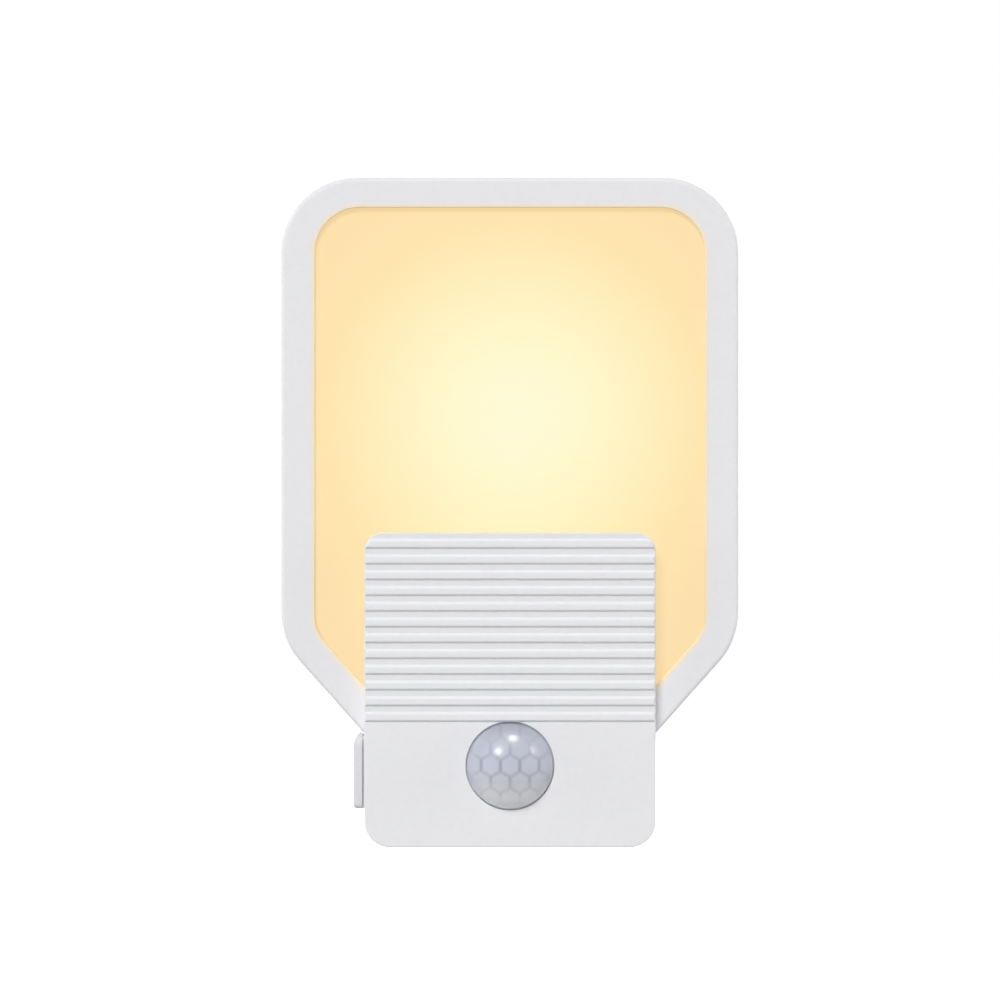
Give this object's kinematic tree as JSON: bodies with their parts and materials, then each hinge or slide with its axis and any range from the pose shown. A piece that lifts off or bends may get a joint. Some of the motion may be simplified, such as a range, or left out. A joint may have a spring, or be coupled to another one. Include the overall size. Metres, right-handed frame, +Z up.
{
  "type": "motion sensor night light",
  "caption": "Plug-in night light with a tapered lit panel, a ribbed white body, a domed motion sensor lens and a side slide switch.",
  "frame": {"origin": "on the wall plane, at the centre of the plug, midway between the two blades", "axes": "+Z up along the panel, +Y into the wall along the plug blades, so the lit front faces -Y and +X is to the right of someone who looks at the front"},
  "size_m": [0.079, 0.0521, 0.1153],
  "materials": {
    "white_shell": "white moulded plastic with a fine satin grain",
    "opal_diffuser": "opal diffuser, lit warm white from behind",
    "milky_lens": "milky translucent lens with honeycomb cells",
    "white_inner": "white plastic",
    "lamp_board": "white solder mask on an aluminium board",
    "led_resin": "yellow phosphor resin",
    "plated_steel": "zinc plated steel",
    "lead_sheath": "white wire insulation",
    "plug_brass": "drawn brass",
    "board_green": "green solder mask on glass laminate",
    "capacitor_red": "dipped epoxy",
    "capacitor_blue": "shrink sleeve or dipped epoxy",
    "resistor_blue": "lacquered resistor",
    "black_resin": "black moulded resin",
    "dark_window": "dark filter window",
    "capacitor_can": "bare aluminium can",
    "brown_board": "brown phenolic laminate"
  },
  "bodies": {
    "housing": {"front_cover": "white_shell", "bezel_frame": "white_shell", "diffuser": "opal_diffuser", "pir_lens": "milky_lens", "panel_back": "white_shell", "reflector": "white_inner", "lamp_board": "lamp_board", "lamp_leds": "led_resin", "lamp_screws": "plated_steel", "lamp_leads": "lead_sheath", "rear_housing": "white_shell", "case_screws": "plated_steel", "plug_insert": "white_inner", "plug_blades": "plug_brass", "power_board": "board_green", "film_capacitor": "capacitor_red", "filter_capacitor": "capacitor_blue", "bridge_rectifier": "black_resin", "fuse_resistor": "resistor_blue", "varistor": "capacitor_blue", "link_bar": "black_resin", "link_pins": "plug_brass", "sensor_board": "board_green", "sensor_hood": "black_resin", "sensor_can": "plated_steel", "sensor_window": "dark_window", "sensor_legs": "plated_steel", "light_sensor": "dark_window", "control_chip": "black_resin", "chip_capacitor": "capacitor_can", "switch_frame": "plated_steel", "switch_base": "brown_board", "switch_terminals": "plug_brass"},
    "switch": {"switch_knob": "white_shell", "switch_slider": "black_resin", "switch_contact": "plug_brass"}
  },
  "joints": [
    {"name": "switch_slide", "type": "slide", "parent": "housing", "child": "switch", "axis": [0, 0, 1], "range_m": [-0.004, 0]}
  ]
}
